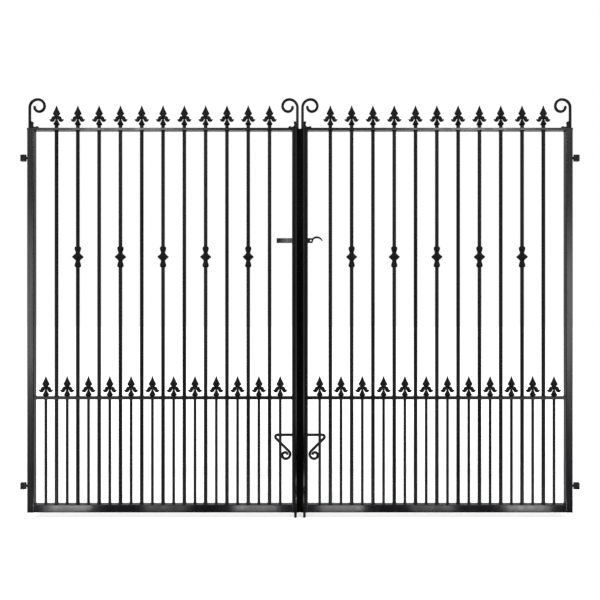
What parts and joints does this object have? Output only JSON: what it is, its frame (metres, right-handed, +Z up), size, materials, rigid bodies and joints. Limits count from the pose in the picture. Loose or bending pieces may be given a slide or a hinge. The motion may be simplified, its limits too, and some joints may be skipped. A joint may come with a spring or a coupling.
{
  "type": "wrought iron driveway gate",
  "caption": "Pair of tall black iron gate leaves with round bars, dog bars, cast spear finials, corner scrolls, pin hinges, a slide latch and drop bolts.",
  "frame": {"origin": "middle of the flat outer face of the lower left hinge bracket, which is fixed to the gate post", "axes": "+X runs from the left post to the right post, +Y from the street side to the inside, +Z is up"},
  "size_m": [2.468, 0.0635, 1.864],
  "materials": {
    "frame_paint": "gloss black paint on box section and flat bar",
    "bar_paint": "gloss black paint on round bar",
    "casting_paint": "satin black paint on castings",
    "hinge_paint": "satin black paint on hinge and guide parts",
    "strip_paint": "deep black paint on the cover strip",
    "bolt_paint": "satin black paint, worn where it slides",
    "pin_steel": "dark oiled steel"
  },
  "bodies": {
    "post_hinges": {"left_hinge_brackets": "hinge_paint", "right_hinge_brackets": "hinge_paint", "left_hinge_pins": "pin_steel", "right_hinge_pins": "pin_steel"},
    "left_leaf": {"left_hinge_stile": "frame_paint", "left_meeting_stile": "frame_paint", "left_foot_caps": "frame_paint", "left_bottom_rail": "frame_paint", "left_mid_rail": "frame_paint", "left_top_rail": "frame_paint", "left_upright_bars": "bar_paint", "left_dog_bars": "bar_paint", "left_top_finials": "casting_paint", "left_dog_finials": "casting_paint", "left_bar_knuckles": "casting_paint", "left_scrolls": "bar_paint", "left_scroll_brackets": "casting_paint", "left_hinge_eyes": "hinge_paint", "left_bolt_guides": "hinge_paint", "left_latch_rest": "hinge_paint"},
    "right_leaf": {"right_hinge_stile": "frame_paint", "right_meeting_stile": "frame_paint", "right_foot_caps": "frame_paint", "right_bottom_rail": "frame_paint", "right_mid_rail": "frame_paint", "right_top_rail": "frame_paint", "right_upright_bars": "bar_paint", "right_dog_bars": "bar_paint", "right_top_finials": "casting_paint", "right_dog_finials": "casting_paint", "right_bar_knuckles": "casting_paint", "right_scrolls": "bar_paint", "right_scroll_brackets": "casting_paint", "right_hinge_eyes": "hinge_paint", "right_bolt_guides": "hinge_paint", "right_latch_guide": "hinge_paint", "right_cover_strip": "strip_paint"},
    "left_drop_bolt": {"left_drop_bolt": "bolt_paint"},
    "right_drop_bolt": {"right_drop_bolt": "bolt_paint"},
    "latch_bar": {"latch_bar": "bolt_paint"}
  },
  "joints": [
    {"name": "left_leaf_swing", "type": "hinge", "parent": "post_hinges", "child": "left_leaf", "pos_m": [0.016, 0, 0], "axis": [0, 0, 1], "range_deg": [0, 90]},
    {"name": "right_leaf_swing", "type": "hinge", "parent": "post_hinges", "child": "right_leaf", "pos_m": [2.452, 0, 0], "axis": [0, 0, -1], "range_deg": [0, 90]},
    {"name": "left_drop_bolt_lift", "type": "slide", "parent": "left_leaf", "child": "left_drop_bolt", "axis": [0, 0, 1], "range_m": [0, 0.07]},
    {"name": "right_drop_bolt_lift", "type": "slide", "parent": "right_leaf", "child": "right_drop_bolt", "axis": [0, 0, 1], "range_m": [0, 0.07]},
    {"name": "latch_slide", "type": "slide", "parent": "right_leaf", "child": "latch_bar", "axis": [1, 0, 0], "range_m": [0, 0.11]}
  ]
}
